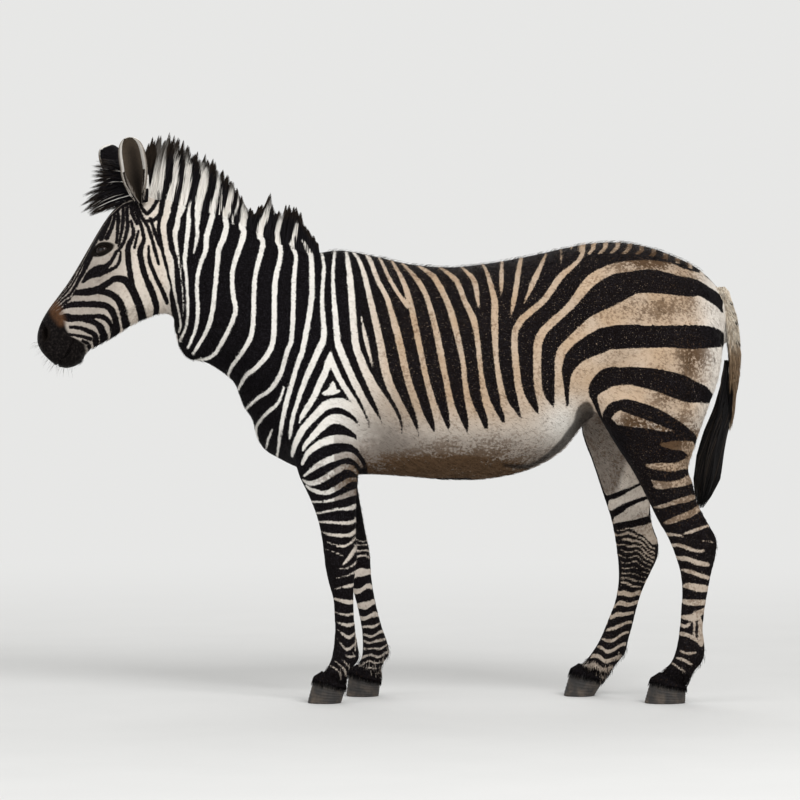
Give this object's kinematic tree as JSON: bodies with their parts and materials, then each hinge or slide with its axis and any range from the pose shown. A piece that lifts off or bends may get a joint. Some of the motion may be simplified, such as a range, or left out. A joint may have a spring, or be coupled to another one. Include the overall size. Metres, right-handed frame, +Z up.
{
  "type": "standing mountain zebra, life-size still model",
  "caption": "Life-size still model of a mountain zebra standing square, head raised, with upright mane, striped coat, dewlap and tufted tail.",
  "frame": {"origin": "middle of the ground the animal's outline covers, at the level of the hoof soles", "axes": "+Z up, head towards -X, tail towards +X, the animal's left side towards -Y"},
  "size_m": [2.109, 0.516, 1.708],
  "materials": {
    "striped_coat": "short flat hair, black and cream stripes",
    "mane_hair": "stiff upright hair, striped, dark at the tips",
    "tail_hair": "long straight black hair",
    "horn": "dusty grey-brown hoof horn with growth rings",
    "eye": "wet, dark brown, glossy"
  },
  "bodies": {
    "root": {"head": "striped_coat", "neck": "striped_coat", "trunk": "striped_coat", "foreleg_left": "striped_coat", "foreleg_right": "striped_coat", "hindleg_left": "striped_coat", "hindleg_right": "striped_coat", "ear_left": "striped_coat", "ear_right": "striped_coat", "hoof_fore_left": "horn", "hoof_fore_right": "horn", "hoof_hind_left": "horn", "hoof_hind_right": "horn", "eye_left": "eye", "eye_right": "eye", "mane": "mane_hair", "forelock": "mane_hair", "tail_dock": "striped_coat", "tail_tuft": "tail_hair"}
  },
  "joints": []
}
